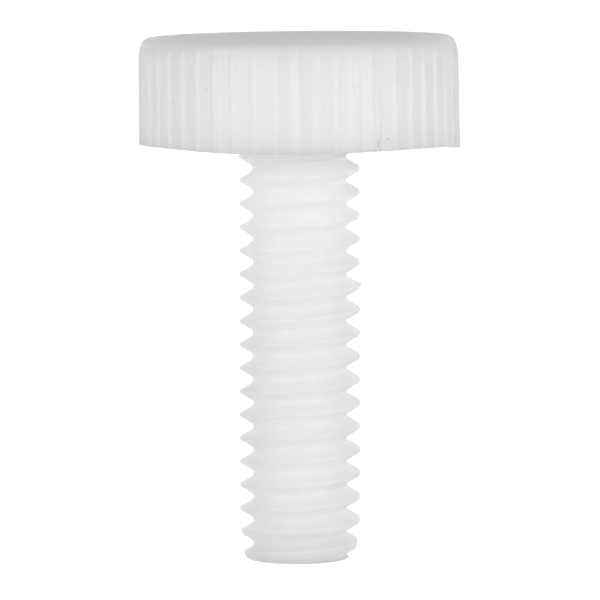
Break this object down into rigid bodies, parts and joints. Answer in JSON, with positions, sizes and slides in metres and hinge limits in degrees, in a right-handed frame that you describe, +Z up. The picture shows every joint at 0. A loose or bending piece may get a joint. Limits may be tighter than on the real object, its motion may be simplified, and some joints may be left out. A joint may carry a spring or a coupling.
{
  "type": "thumb screw",
  "caption": "Moulded thumb screw with a low, finely ribbed round head and a coarse right-hand threaded shank ending in a short tapered tip.",
  "frame": {"origin": "centre of the bounding box's bottom face, on the table under the lying screw", "axes": "the screw lies on its side as it comes to rest: its axis runs in the plane X = 0, the head towards +Y and the tip towards -Y and slightly down, and +Z is up"},
  "size_m": [0.0108, 0.0186, 0.0112],
  "materials": {
    "natural_nylon": "semi-gloss, as moulded"
  },
  "bodies": {
    "root": {"thumb_screw": "natural_nylon"}
  },
  "joints": []
}
